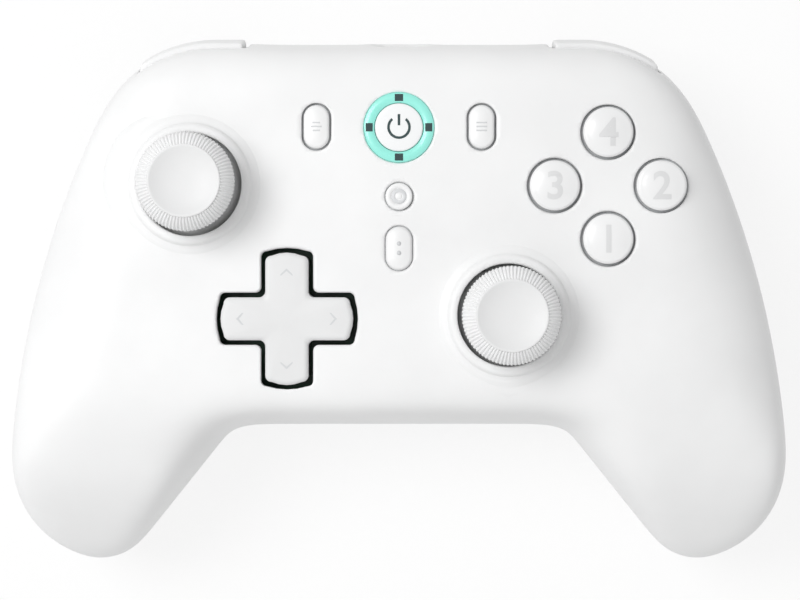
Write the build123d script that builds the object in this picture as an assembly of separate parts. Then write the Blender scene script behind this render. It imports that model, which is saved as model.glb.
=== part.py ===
from build123d import *
import math
import os

# A wireless gamepad lying face up. Origin at the middle of its underside: +X right, +Y towards the
# shoulders, +Z out of the face. All sizes in millimetres.

# The whole housing
half_width = 77.0
half_length = 52.2
face_height = 44.0
wall = 2.0
parting_height = 26.0
parting_drop = 5.0
parting_start_share = 0.2
crown_share = 0.981
waist_share = -0.471

# Clearances and other small general sizes
fit = 0.2
slide_gap = 0.3
running_gap = 0.06
overrun = 1.0

# Arcs of the outline on the right (start, middle and end), as shares of half the width and length
shoulder_arc_shares = [(0.468, 0.981), (0.649, 0.906), (0.779, 0.690)]
side_arc_shares = [(0.779, 0.690), (0.917, 0.149), (1.000, -0.529)]
heel_arc_shares = [(1.000, -0.529), (0.969, -0.789), (0.857, -0.964)]
tip_arc_shares = [(0.857, -0.964), (0.765, -1.000), (0.677, -0.931)]
crook_arc_shares = [(0.474, -0.556), (0.431, -0.494), (0.370, -0.471)]

# How the housing rounds off from its face and its base to its sides
crown_radius = 9.0
crown_under_radius = 12.0
waist_radius = 6.0
belly_rise = 22.0
belly_start_share = 0.077
droop_depth = 20.3
droop_start_share = -0.307
nose_radius = 18.0
side_radius = 18.0
side_under_radius = 16.0
side_bulge = 4.0
side_lean_degrees = 12.0
side_lean_start = 28.0
inner_radius = 13.0
inner_under_radius = 16.0
body_half_width = 46.0
valley_radius = 30.0
valley_front_shares = (0.545, 1.150)
valley_front_depth = 19.0
valley_back_shares = (0.650, -0.460)
valley_back_depth = 31.0

# Places on the face, as shares of half the width and half the length
left_stick_place_shares = (-0.518, 0.429)
right_stick_place_shares = (0.273, -0.050)
dpad_place_shares = (-0.278, -0.063)
face_button_place_shares = (0.519, 0.425)
home_place_shares = (0.0, 0.638)
pill_place_shares = (0.205, 0.640)
capture_place_shares = (0.0, 0.385)
mode_place_shares = (0.0, 0.195)

# Main board, held under the face
board_depth = 10.8
board_thickness = 1.6
board_edge_share = 0.67
board_low_share = -0.37
board_high_share = 0.73
board_tongue_width = 18.0
board_tongue_share = 0.88
board_post_radius = 2.6
board_post_place_shares = [(-0.255, 0.400), (0.255, 0.400)]

# Screws that clamp the two shells, and their pillars
pillar_radius = 3.2
pillar_place_shares = [(-0.162, 0.845), (0.162, 0.845)]
grip_pillar_place_shares = [(-0.755, -0.640), (0.755, -0.640)]
screw_radius = 1.3
screw_head_radius = 2.5
screw_head_height = 1.8
screw_bite = 7.0
screw_seat = 2.2
recess_wall = 1.3

# Analogue sticks: the tilt is about a point under the face
stick_pivot_depth = 10.5
stick_tilt_degrees = 17.0
stick_click = 0.5
stick_opening_radius = 10.1
stick_ring_width = 1.7
stick_ring_rise = 1.8
stick_skirt_radius = 11.6
stick_skirt_wall = 1.0
stick_skirt_degrees = 62.0
stick_skirt_shares = (1.0, 0.72, 0.42)
stick_cap_radius = 9.0
stick_cap_top = 24.0
stick_cap_height = 5.6
stick_knurl_height = 2.6
stick_knurl_depth = 0.32
stick_knurl_teeth = 30
stick_rim_radius = 7.1
stick_rim_width = 0.6
stick_dish_depth = 1.1
stick_neck_radius = 3.3
stick_shaft_radius = 1.3
stick_can_size = 13.0
stick_can_wall = 0.8
stick_can_rise = 3.5
stick_can_drop = 5.0
stick_can_corner_gap = 0.4
stick_axle_radius = 1.0
stick_trunnion_radius = 0.8
stick_pivot_radius = 2.0
stick_rocker_half = 3.4
stick_rocker_rise = 1.3
stick_rocker_drop = 2.4
stick_bow_rise = 3.4
stick_bow_thickness = 0.8
stick_bow_half_width = 2.6
stick_bow_reach = 4.6
stick_bow_slot_length = 5.4

# Cross-shaped direction pad
dpad_span = 25.3
dpad_arm = 8.2
dpad_groove = 0.9
dpad_corner = 1.2
dpad_end_bulge = 0.6
dpad_end_flat = 1.4
dpad_rise = 1.6
dpad_skirt = 1.6
dpad_flange_drop = 1.5
dpad_flange_height = 1.0
dpad_flange = 1.4
dpad_tilt_degrees = 4.0
dpad_pivot_depth = 6.9
dpad_hub_rise = 0.9
dpad_axle_radius = 0.9
dpad_carrier_half = 2.6
dpad_carrier_height = 1.8
dpad_post_thickness = 1.6

# Round push buttons on the right
face_button_radius = 4.8
face_button_spread = 10.2
face_button_gap = 0.5
face_button_rise = 1.7
face_button_travel = 1.6

# Small buttons in the middle
pill_width = 4.85
pill_length = 8.3
pill_gap = 0.42
pill_rise = 0.9
capture_radius = 2.55
mode_width = 5.0
home_radius = 4.6
home_rise = 0.5
home_edge = 0.4
home_ring_gap = 0.12
home_ring_width = 2.0
home_ring_rise = 0.15
home_ring_depth = 5.5
small_button_gap = 0.2
small_button_rise = 0.8
small_button_travel = 0.7
capture_ring_radius = 1.7
capture_ring_depth = 0.3

# What all push buttons share: a cross bar under the seat and a rubber cup under the middle
round_sides = 20
pin_sides = 12
hex_sides = 6
button_flange = 1.1
button_flange_height = 0.8
button_flange_gap = 0.1
button_bar_width = 3.0
button_edge = 0.7
pad_thickness = 0.9
pad_half = 2.2
cup_radius = 1.6
cup_height = 2.6

# Shoulder bumpers
bumper_inner_share = 0.397
bumper_outer_share = 0.658
bumper_low = 2.0
bumper_high = 8.9
bumper_stand = 0.8
bumper_thickness = 2.2
bumper_gap = 0.35
bumper_pivot_share = (0.305, 0.806)
bumper_hub_radius = 3.0
bumper_pin_radius = 1.5
bumper_arm_depth = 2.8
bumper_arm_low = 1.6
bumper_arm_height = 4.4
bumper_web = 1.6
bumper_finger_width = 4.0
bumper_finger_rise = 4.0
bumper_degrees = 2.0
bumper_post_top = 7.0
bumper_spacer_radius = 2.6

# Analogue triggers
trigger_inner_share = 0.421
trigger_width = 17.4
trigger_side_gap = 0.4
trigger_pivot_share = 0.686
trigger_pivot_rise = 0.5
trigger_hub_radius = 3.4
trigger_pin_radius = 1.5
trigger_degrees = 15.0
trigger_wall = 1.6
trigger_front = 12.0
trigger_front_drop = 3.2
trigger_waist = 9.4
trigger_waist_drop = 13.0
trigger_tip = 11.6
trigger_tip_drop = 21.5
trigger_keel_radius = 16.6
trigger_keel_front_degrees = 17.0
trigger_keel_back_degrees = -7.0
trigger_shoulder = 8.4
trigger_back = 1.4
trigger_opening_gap = 0.6

# Chassis between the rear shell and the board: it carries the triggers and bumpers
chassis_top_drop = 2.0
chassis_thickness = 2.0
chassis_half_width = 28.0
chassis_low_share = 0.460
chassis_high_share = 0.905
chassis_beam_share = 0.500
chassis_beam_thickness = 2.0
chassis_beam_rise = 2.0
chassis_beam_drop = 2.0
chassis_beam_half_width = 52.0
ear_thickness = 1.8
ear_radius = 4.2

# Power, sockets and rumble
battery_length = 44.0
battery_width = 30.0
battery_height = 9.0
battery_share = 0.400
battery_rib = 1.4
battery_rib_height = 5.0
socket_width = 8.94
socket_height = 3.26
socket_length = 7.4
socket_wall = 0.35
socket_tongue_width = 6.6
socket_tongue_height = 0.7
socket_tongue_length = 5.5
socket_recess = 0.6
socket_opening_gap = 0.3
motor_place_shares = (0.735, -0.180)
motor_radius = 8.0
motor_length = 11.0
motor_axis_height = 17.0
motor_shaft_radius = 1.0
motor_weight_radius = 10.0
motor_weight_length = 6.0
motor_weight_gap = 0.8
motor_cradle_share = 0.6
switch_size = 5.0
switch_height = 3.4
switch_plunger = 0.5

# Heights that follow from the sizes above
ceiling = face_height - wall
board_top = face_height - board_depth
board_bottom = board_top - board_thickness
pivot_height = face_height - stick_pivot_depth
chassis_top = parting_height - chassis_top_drop
chassis_bottom = chassis_top - chassis_thickness
parting_start = half_length * parting_start_share
crown_y = half_length * crown_share
waist_y = half_length * waist_share


def place(shares, height=0):
    """A point over the face, from its shares of half the width and half the length."""
    return Vector(half_width * shares[0], half_length * shares[1], height)


def block(low_x, high_x, low_y, high_y, low_z, high_z):
    """A box between two values on each axis."""
    size = (high_x - low_x, high_y - low_y, high_z - low_z)
    middle = ((high_x + low_x) / 2, (high_y + low_y) / 2, (high_z + low_z) / 2)
    return Pos(*middle) * Box(*size)


def many_sided(radius, sides, hollow):
    """A round outline drawn with flat sides: inside its circle for a pin, outside it for a hole."""
    return RegularPolygon(radius, sides, major_radius=not hollow)


def prism(radius, low, high, centre, hollow=False, sides=round_sides):
    """An upright round piece or hole with flat sides."""
    return Pos(centre.X, centre.Y, low) * extrude(many_sided(radius, sides, hollow), high - low)


def turned(points, centre):
    """A piece turned from pairs of radius and height, with many flat sides."""
    bands = []
    for (low_radius, low), (high_radius, high) in zip(points, points[1:]):
        flat = math.cos(math.pi / round_sides)
        slope = math.degrees(math.atan2((low_radius - high_radius) * flat, high - low))
        bands.append(Pos(centre.X, centre.Y, low) * extrude(RegularPolygon(low_radius, round_sides), high - low,
                                                            taper=slope))
    return bands[0] + bands[1:]


def rod(radius, low_x, high_x, y, z, hollow=False, sides=round_sides):
    """A round piece or hole along X with flat sides."""
    plane = Plane(origin=(low_x, y, z), x_dir=(0, 1, 0), z_dir=(1, 0, 0))
    return extrude(plane * many_sided(radius, sides, hollow), high_x - low_x)


def cross_rod(radius, low_y, high_y, x, z, hollow=False, sides=round_sides):
    """A round piece or hole along Y with flat sides."""
    plane = Plane(origin=(x, high_y, z), x_dir=(1, 0, 0), z_dir=(0, -1, 0))
    return extrude(plane * many_sided(radius, sides, hollow), high_y - low_y)


def slot_block(width, length, low, high, centre):
    """An upright pill-shaped block, long in Y, with many-sided ends."""
    radius = width / 2
    reach = length / 2 - radius
    points = []
    for side in (1, -1):
        for step in range(pin_sides + 1):
            angle = math.pi * step / pin_sides
            points.append((side * radius * math.cos(angle), side * (reach + radius * math.sin(angle))))
    outline = make_face(Polyline(*points, close=True))
    return Pos(centre.X, centre.Y, low) * extrude(outline, high - low, dir=(0, 0, 1))


def write(name, shape):
    """One STEP file for each piece."""
    shape.label = name
    export_step(shape, os.path.join("parts", name + ".step"))
    return shape


# Housing


def profile(edges, low_x, high_x):
    """A profile drawn in Y and Z, extruded along X."""
    plane = Plane(origin=(low_x, 0, 0), x_dir=(0, 1, 0), z_dir=(1, 0, 0))
    return extrude(plane * make_face(edges), high_x - low_x)


def outline_form(inset):
    """The whole outline seen from above: upright at first, then leaning inwards to the face."""
    arcs = [shoulder_arc_shares, side_arc_shares, heel_arc_shares, tip_arc_shares, crook_arc_shares]
    points = [[place(shares) for shares in arc] for arc in arcs]
    edges = [ThreePointArc(*trio) for trio in points]
    edges.append(Line((0, crown_y), points[0][0]))
    edges.append(Line(points[3][2], points[4][0]))
    edges.append(Line(points[4][2], (0, waist_y)))
    face = make_face(edges + [mirror(edge, Plane.YZ) for edge in edges])
    if inset:
        face = offset(face, -inset)
    foot = offset(face, side_lean_start * math.tan(math.radians(side_lean_degrees)))
    return extrude(face, face_height) & extrude(foot, face_height, taper=side_lean_degrees)


def crown_edges(inset):
    """The rounded edge between the shoulders, from the base up to the face."""
    under, over = crown_under_radius, crown_radius
    return [
        CenterArc((crown_y - under, under), under - inset, 270, 90),
        Line((crown_y - inset, under), (crown_y - inset, face_height - over)),
        CenterArc((crown_y - over, face_height - over), over - inset, 0, 90),
    ]


def arc_radius(reach, depth):
    """Radius of an arc that leaves a flat face and has sunk by a depth at the end of its reach."""
    return (reach**2 + depth**2) / (2 * depth)


def body_form(inset):
    """The middle of the housing: a flat face over a belly that rises to the waist."""
    start = half_length * belly_start_share
    edge = waist_y + inset
    full_radius = arc_radius(start - waist_y, belly_rise)
    radius = full_radius - inset
    rise = math.sqrt(radius**2 - (start - edge) ** 2)
    low = full_radius - rise
    sweep = math.degrees(math.atan2(start - edge, rise))
    top = face_height - inset
    edges = crown_edges(inset) + [
        Line((crown_y - crown_radius, top), (waist_y + waist_radius, top)),
        CenterArc((waist_y + waist_radius, face_height - waist_radius), waist_radius - inset, 90, 90),
        Line((edge, face_height - waist_radius), (edge, low)),
        CenterArc((start, full_radius), radius, 270 - sweep, sweep),
        Line((start, inset), (crown_y - crown_under_radius, inset)),
    ]
    return profile(edges, -body_half_width, body_half_width)


def grip_form(inset):
    """Both grips and the shoulders: the face droops towards the tips of the grips."""
    start = half_length * droop_start_share
    edge = inset - half_length
    full_radius = arc_radius(half_length + start, droop_depth)
    centre = face_height - full_radius
    radius = full_radius - inset
    rise = math.sqrt(radius**2 - (start - edge) ** 2)
    sweep = math.degrees(math.atan2(start - edge, rise))
    top = face_height - inset
    edges = crown_edges(inset) + [
        Line((crown_y - crown_radius, top), (start, top)),
        CenterArc((start, centre), radius, 90, sweep),
        Line((edge, centre + rise), (edge, nose_radius)),
        CenterArc((nose_radius - half_length, nose_radius), nose_radius - inset, 180, 90),
        Line((nose_radius - half_length, inset), (crown_y - crown_under_radius, inset)),
    ]
    return profile(edges, -half_width - overrun, half_width + overrun)


def rolled_side(start, end, over, under, bulge, inset):
    """All that lies on the left of a line in plan, with the edge along that line rolled off."""
    along = (end - start).normalized()
    inwards = Vector(0, 0, 1).cross(along)
    reach = 2 * (half_width + half_length)
    origin = start - inwards * bulge - along * reach
    plane = Plane(origin=origin, x_dir=inwards, z_dir=inwards.cross(Vector(0, 0, 1)))
    top = face_height - inset
    edges = [
        CenterArc((under, under), under - inset, 180, 90),
        Line((inset, under), (inset, face_height - over)),
        CenterArc((over, face_height - over), over - inset, 90, 90),
        Line((over, top), (reach, top)),
        Line((reach, top), (reach, inset)),
        Line((reach, inset), (under, inset)),
    ]
    return extrude(plane * make_face(edges), 2 * reach, dir=along)


def valley_form(inset):
    """The hollow under a shoulder where the fingers lie."""
    front = place(valley_front_shares, -valley_front_depth)
    back = place(valley_back_shares, -valley_back_depth)
    along = front - back
    plane = Plane(origin=back, z_dir=along.normalized())
    return plane * Cylinder(valley_radius + inset, along.length, align=(Align.CENTER, Align.CENTER, Align.MIN))


def both_sides(shape):
    """A piece on the right with its mirror image on the left."""
    return [shape, mirror(shape, Plane.YZ)]


def housing_form(inset):
    """The outer form of the housing, or with an inset the form of its inside."""
    side_start, side_end = place(side_arc_shares[2]), place(side_arc_shares[0])
    sides = both_sides(rolled_side(side_start, side_end, side_radius, side_under_radius, side_bulge, inset))
    inner_start, inner_end = place(crook_arc_shares[0]), place(tip_arc_shares[2])
    inner = both_sides(rolled_side(inner_start, inner_end, inner_radius, inner_under_radius, 0, inset))
    grips = grip_form(inset)
    form = body_form(inset) + [grips & edge for edge in inner]
    form = form & outline_form(inset) & sides[0] & sides[1]
    return form - both_sides(valley_form(inset))


def above_seam():
    """Everything over the seam between the shells, which falls towards the tips of the grips."""
    far = half_width + overrun
    high = face_height + overrun
    back = half_length + overrun
    reach = parting_start + back
    radius = arc_radius(reach, parting_drop)
    sweep = math.degrees(math.asin(reach / radius))
    low = parting_height - parting_drop
    edges = [
        Line((back, parting_height), (parting_start, parting_height)),
        CenterArc((parting_start, parting_height - radius), radius, 90, sweep),
        Line((-back, low), (-back, high)),
        Line((-back, high), (back, high)),
        Line((back, high), (back, parting_height)),
    ]
    return profile(edges, -far, far)


def seam_at(y):
    """Height of the seam at a place between the shoulders and the tips of the grips."""
    reach = parting_start + half_length + overrun
    radius = arc_radius(reach, parting_drop)
    along = max(0, parting_start - y)
    return parting_height - radius + math.sqrt(radius**2 - along**2)


outer_form = housing_form(0)
cavity_form = housing_form(wall)
rib_form = housing_form(wall / 2)
upper_space = above_seam()

# Centres of what stands on the face
left_stick = place(left_stick_place_shares)
right_stick = place(right_stick_place_shares)
dpad_centre = place(dpad_place_shares)
cluster = place(face_button_place_shares)
home_centre = place(home_place_shares)
capture_centre = place(capture_place_shares)
mode_centre = place(mode_place_shares)
menu_centre = place(pill_place_shares)
view_centre = Vector(-menu_centre.X, menu_centre.Y, 0)
face_centres = [
    cluster + Vector(0, -face_button_spread, 0),
    cluster + Vector(face_button_spread, 0, 0),
    cluster + Vector(-face_button_spread, 0, 0),
    cluster + Vector(0, face_button_spread, 0),
]
board_posts = [place(shares) for shares in board_post_place_shares]
body_pillars = [place(shares) for shares in pillar_place_shares]
grip_pillars = [place(shares) for shares in grip_pillar_place_shares]

# The flat seats under the openings of the face, where the flanges of the buttons stop
seat = ceiling - wall / 2
collar_top = ceiling + wall / 4
button_hole = face_button_radius + face_button_gap
ring_radius = home_radius + home_ring_gap + home_ring_width
ring_hole = ring_radius + running_gap
seat_margin = button_flange + fit
well_radius = screw_head_radius + fit
well_outer = well_radius + recess_wall
pillar_bore = screw_radius + running_gap


def cross_outline(grow, corner):
    """The cross of the direction pad, with bulged ends, made larger all round by a margin."""
    reach = dpad_span / 2 - dpad_end_bulge + grow
    half = dpad_arm / 2 + grow
    tip = reach + dpad_end_bulge
    arm = Polyline((half, half), (reach, half), (tip, dpad_end_flat), (tip, -dpad_end_flat), (reach, -half),
                   (half, -half))
    face = make_face([Rot(0, 0, turn * 90) * edge for turn in range(4) for edge in arm.edges()])
    return chamfer(face.vertices(), corner) if corner else face


def cross_block(grow, low, high, corner=dpad_corner):
    """An upright block with the outline of the cross."""
    return Pos(dpad_centre.X, dpad_centre.Y, low) * extrude(cross_outline(grow, corner), high - low)


def tower(half, low, high, centre):
    """A square tower."""
    return block(centre.X - half, centre.X + half, centre.Y - half, centre.Y + half, low, high)


# Front shell


def seats():
    """The thicker patches behind the face that the flanges of the buttons stop against."""
    arm = button_hole + seat_margin
    span = face_button_spread + arm
    x, y = cluster.X, cluster.Y
    patches = [
        block(x - span, x + span, y - arm, y + arm, seat, collar_top),
        block(x - arm, x + arm, y - span, y + span, seat, collar_top),
        tower(dpad_span / 2 + dpad_groove + dpad_skirt, seat, collar_top, dpad_centre),
    ]
    half = ring_hole + seat_margin
    side = menu_centre.X + pill_width / 2 + pill_gap + seat_margin
    patches.append(block(-side, side, home_centre.Y - half, home_centre.Y + half, seat, collar_top))
    side = mode_width / 2 + small_button_gap + seat_margin
    low = mode_centre.Y - pill_length / 2 - seat_margin
    patches.append(block(-side, side, low, home_centre.Y, seat, collar_top))
    return patches


def stick_lip(centre):
    """The raised lip that is moulded round a stick's opening."""
    outer = stick_opening_radius + stick_ring_width
    top = face_height + stick_ring_rise
    return turned([(outer, face_height - wall / 2), (outer - stick_ring_width / 2, top)], centre)


def front_shell():
    """The face: a thin moulding with seats, pillars and posts behind it."""
    shell = (outer_form - cavity_form) & upper_space
    inside = seats()
    inside += [tower(board_post_radius, board_top, collar_top, centre) for centre in board_posts]
    inside += [tower(pillar_radius, chassis_top, collar_top, centre) for centre in body_pillars]
    inside += [tower(pillar_radius, seam_at(centre.Y), face_height, centre) for centre in grip_pillars]
    shell += [piece & rib_form for piece in inside]
    shell += [stick_lip(centre) for centre in (left_stick, right_stick)]
    return shell - face_cuts()


def face_cuts():
    """Every opening through the face, the screw bores behind it and the shoulder windows."""
    top = face_height + stick_ring_rise + overrun
    low = seat - overrun
    cuts = [prism(stick_opening_radius, low, top, centre, True) for centre in (left_stick, right_stick)]
    cuts += [prism(button_hole, low, top, centre, True) for centre in face_centres]
    cuts += [prism(ring_hole, low, top, home_centre, True)]
    cuts += [prism(capture_radius + small_button_gap, low, top, capture_centre, True)]
    grow = 2 * pill_gap
    cuts += [slot_block(pill_width + grow, pill_length + grow, low, top, centre) for centre in (view_centre, menu_centre)]
    grow = 2 * small_button_gap
    cuts += [slot_block(mode_width + grow, pill_length + grow, low, top, mode_centre)]
    cuts += [cross_block(dpad_groove, low, top)]
    for centre in body_pillars + grip_pillars:
        start = chassis_top if centre in body_pillars else seam_at(centre.Y)
        cuts.append(prism(pillar_bore, start - overrun, start + screw_bite + fit, centre, True, pin_sides))
    return cuts + both_sides(bumper_window()) + [socket_opening()]


# Shoulders: what the shells, the chassis, the bumpers and the triggers share
bumper_inner = half_width * bumper_inner_share
bumper_outer = half_width * bumper_outer_share
bumper_bottom = parting_height - bumper_low
bumper_top = parting_height + bumper_high
bumper_back = half_length * bumper_pivot_share[1]
bumper_pivot = place(bumper_pivot_share)
trigger_inner = half_width * trigger_inner_share
trigger_outer = trigger_inner + trigger_width
trigger_pivot_y = half_length * trigger_pivot_share
trigger_pivot_z = parting_height + trigger_pivot_rise
socket_mouth = crown_y - wall - socket_recess
socket_middle = board_bottom - socket_height / 2


def bumper_window():
    """The window that the right bumper fills."""
    low, high = bumper_bottom - bumper_gap, bumper_top + bumper_gap
    near, far = bumper_inner - bumper_gap, bumper_outer + bumper_gap
    return block(near, far, bumper_back, half_length + overrun, low, high)


def socket_opening():
    """The opening for a plug in the wall between the bumpers."""
    half = socket_width / 2 + socket_opening_gap
    high = socket_height / 2 + socket_opening_gap
    outline = Pos(0, socket_middle) * SlotOverall(2 * half, 2 * high)
    start = socket_mouth - overrun
    plane = Plane(origin=(0, start, 0), x_dir=(1, 0, 0), z_dir=(0, -1, 0))
    return extrude(plane * outline, start - half_length - overrun)


# Rear shell
screw_reach = screw_seat + chassis_thickness
battery_middle = half_length * battery_share
battery_floor = wall + battery_height
motor_centre = place(motor_place_shares)


def rear_boss_top(centre):
    """Height where a screw boss of the rear shell ends: at the chassis or at the seam."""
    return chassis_bottom if centre in body_pillars else seam_at(centre.Y)


def screw_seat_height(centre):
    """Height of the face that a housing screw's head presses on."""
    return rear_boss_top(centre) - (screw_seat if centre in body_pillars else screw_reach)


def battery_ribs():
    """Ribs that fence the battery in on the floor."""
    long, wide = battery_length / 2 + fit, battery_width / 2 + fit
    outer = block(-long - battery_rib, long + battery_rib, -wide - battery_rib, wide + battery_rib, wall / 2,
                  wall + battery_rib_height)
    inner = block(-long, long, -wide, wide, 0, face_height)
    return Pos(0, battery_middle, 0) * (outer - inner)


def motor_cradle():
    """The cradle of the right motor, with a trough that fits it."""
    x, y = motor_centre.X, motor_centre.Y
    half = motor_radius + recess_wall
    length = motor_length * motor_cradle_share / 2
    body = block(x - half, x + half, y - length, y + length, 0, motor_axis_height - fit)
    return (body - cross_rod(motor_radius + fit, y - motor_length, y + motor_length, x, motor_axis_height, True)) & rib_form


def trigger_opening():
    """The opening that the right trigger swings through."""
    near, far = trigger_inner - trigger_opening_gap, trigger_outer + trigger_opening_gap
    top = bumper_bottom + bumper_gap
    return block(near, far, trigger_pivot_y - trigger_back, half_length + overrun, -overrun, top)


def rear_shell():
    """The back: a thin moulding with screw bosses, the battery fence and the motor cradles."""
    shell = (outer_form - cavity_form) - upper_space
    pillars = body_pillars + grip_pillars
    inside = [tower(well_outer, 0, rear_boss_top(centre), centre) & rib_form for centre in pillars]
    shell += inside + [battery_ribs()] + both_sides(motor_cradle())
    cuts = [prism(well_radius, -overrun, screw_seat_height(centre), centre, True) for centre in pillars]
    cuts += [prism(screw_radius + fit, 0, parting_height, centre, True, pin_sides) for centre in pillars]
    return shell - (cuts + both_sides(bumper_window()) + both_sides(trigger_opening()) + [socket_opening()])


def screws():
    """The four screws that clamp the shells together."""
    pieces = []
    for centre in body_pillars + grip_pillars:
        seat_height = screw_seat_height(centre)
        foot = seat_height - screw_head_height
        shank = prism(screw_radius, seat_height, seat_height + screw_reach + screw_bite, centre, sides=pin_sides)
        head = prism(screw_head_radius, foot, seat_height, centre, sides=pin_sides)
        recess = prism(screw_radius, foot - overrun, foot + screw_head_height / 2, centre, sides=hex_sides)
        pieces.append(head + shank - recess)
    return pieces


# Chassis, board and what is fixed to them


def chassis():
    """The plate under the board, with ears and pins for the triggers and posts for the bumpers."""
    back, front = half_length * chassis_low_share, half_length * chassis_high_share
    frame = block(-chassis_half_width, chassis_half_width, back, front, chassis_bottom, chassis_top)
    beam_back = half_length * chassis_beam_share - chassis_beam_thickness / 2
    beam_front = beam_back + chassis_beam_thickness
    low, high = chassis_bottom - chassis_beam_drop, chassis_top + chassis_beam_rise
    half = chassis_beam_half_width
    frame += block(-half, half, beam_back, beam_front, low, high)
    for ear in (trigger_inner - trigger_side_gap - ear_thickness, trigger_outer + trigger_side_gap):
        arm = block(ear, ear + ear_thickness, beam_back, trigger_pivot_y, trigger_pivot_z - ear_radius,
                    trigger_pivot_z + ear_radius)
        end = rod(ear_radius, ear, ear + ear_thickness, trigger_pivot_y, trigger_pivot_z)
        frame += both_sides(arm + end)
    start, end = trigger_inner - trigger_side_gap, trigger_outer + trigger_side_gap
    frame += both_sides(rod(trigger_pin_radius, start, end, trigger_pivot_y, trigger_pivot_z, sides=pin_sides))
    arm_low = parting_height + bumper_arm_low
    spacer = prism(bumper_spacer_radius, chassis_bottom, arm_low - running_gap, bumper_pivot)
    post = prism(bumper_pin_radius, chassis_bottom, parting_height + bumper_post_top, bumper_pivot, sides=pin_sides)
    frame += both_sides(spacer + post)
    return frame - [prism(screw_radius + fit, 0, face_height, centre, True, pin_sides) for centre in body_pillars]


def board():
    """The main board, cut out for the stick cases, with a tongue that carries the plug socket."""
    back, front = half_length * board_low_share, half_length * board_high_share
    edge = half_width * board_edge_share
    plate = block(-edge, edge, back, front, board_bottom, board_top)
    tongue = board_tongue_width / 2
    plate += block(-tongue, tongue, 0, half_length * board_tongue_share, board_bottom, board_top)
    half = stick_can_size / 2 + fit
    for centre in (left_stick, right_stick):
        plate -= tower(half, 0, face_height, centre)
    return plate


def pads():
    """The rubber springs under the push buttons, on the board."""
    pieces = []
    for centre in face_centres + [home_centre, menu_centre, view_centre, capture_centre, mode_centre]:
        base = tower(pad_half, board_top, board_top + pad_thickness, centre)
        pieces.append(base + tower(cup_radius, board_top, board_top + pad_thickness + cup_height, centre))
    return pieces


def socket():
    """The plug socket: a steel shell with a tongue inside, open to the front."""
    face = SlotOverall(socket_width, socket_height)
    plane = Plane(origin=(0, socket_mouth, socket_middle), x_dir=(1, 0, 0), z_dir=(0, -1, 0))
    hollow = SlotOverall(socket_width - 2 * socket_wall, socket_height - 2 * socket_wall)
    body = extrude(plane * face, socket_length)
    body -= extrude(plane * hollow, socket_length - socket_wall)
    back = socket_mouth - socket_length
    half = socket_tongue_width / 2
    thick = socket_tongue_height / 2
    tongue = block(-half, half, back, back + socket_wall + socket_tongue_length, socket_middle - thick,
                   socket_middle + thick)
    return body + tongue


def bumper_switch():
    """The small switch on the board behind a bumper."""
    x = bumper_finger_x
    front = half_length * board_high_share
    body = block(x - switch_size / 2, x + switch_size / 2, front - switch_size, front, board_top,
                 board_top + switch_height)
    middle = board_top + switch_height / 2
    half = switch_height / 4
    return body + block(x - half, x + half, front, front + switch_plunger, middle - half, middle + half)


def battery():
    """The battery pack, flat on the floor of the rear shell."""
    long, wide = battery_length / 2, battery_width / 2
    return block(-long, long, battery_middle - wide, battery_middle + wide, wall, battery_floor)


def motor():
    """The right rumble motor, a plain can."""
    x, y = motor_centre.X, motor_centre.Y
    end = y + motor_length / 2
    return cross_rod(motor_radius, y - motor_length / 2, end, x, motor_axis_height)


def motor_weight():
    """The off-centre weight on the shaft of the right motor."""
    x, y = motor_centre.X, motor_centre.Y
    start = y + motor_length / 2 + motor_weight_gap
    end = start + motor_weight_length
    full = cross_rod(motor_weight_radius, start, end, x, motor_axis_height)
    below = block(x - motor_weight_radius, x + motor_weight_radius, start, end, 0, motor_axis_height)
    boss = cross_rod(2 * motor_shaft_radius, start, end, x, motor_axis_height)
    shaft = cross_rod(motor_shaft_radius, start - motor_weight_gap, end, x, motor_axis_height)
    return (full & below) + boss + shaft


# Push buttons
bar_top = seat - button_flange_gap
bar_bottom = bar_top - button_flange_height
cup_top = board_top + pad_thickness + cup_height


def capped(radius, top, centre):
    """A round button's body: straight below, with a soft edge on top."""
    low = bar_bottom
    edge = button_edge
    return turned([(radius, low), (radius, top - edge), (radius - edge, top)], centre)


def bar(reach, centre, turn=0):
    """The cross bar of a button, which stops against the seat under the face."""
    half = button_bar_width / 2
    return Pos(centre.X, centre.Y) * Rot(0, 0, turn) * block(-reach, reach, -half, half, bar_bottom, bar_top)


def stem(travel, centre):
    """The stem that presses the rubber cup after a small free way."""
    half = button_bar_width / 2
    return tower(half, cup_top + slide_gap + travel, bar_top, centre)


def face_button(centre):
    """One of the four round buttons on the right."""
    body = capped(face_button_radius, face_height + face_button_rise, centre)
    turn = 90 if centre.Y == cluster.Y else 0
    return body + bar(button_hole + button_flange, centre, turn) + stem(face_button_travel, centre)


def pill_button(centre):
    """A pill-shaped button beside the middle."""
    body = slot_block(pill_width, pill_length, bar_bottom, face_height + pill_rise, centre)
    reach = pill_width / 2 + pill_gap + button_flange
    return body + bar(reach, centre) + stem(small_button_travel, centre)


def mode_button():
    """The pill-shaped button in the middle, level with the face."""
    body = slot_block(mode_width, pill_length, bar_bottom, face_height + small_button_rise, mode_centre)
    reach = mode_width / 2 + small_button_gap + button_flange
    return body + bar(reach, mode_centre) + stem(small_button_travel, mode_centre)


def capture_button():
    """The small round button, with a shallow dished ring round its middle."""
    top = face_height + small_button_rise
    body = prism(capture_radius, bar_bottom, top, capture_centre)
    body -= prism(capture_ring_radius, top - capture_ring_depth, top + overrun, capture_centre)
    reach = capture_radius + small_button_gap + button_flange
    return body + bar(reach, capture_centre) + stem(small_button_travel, capture_centre)


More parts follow.
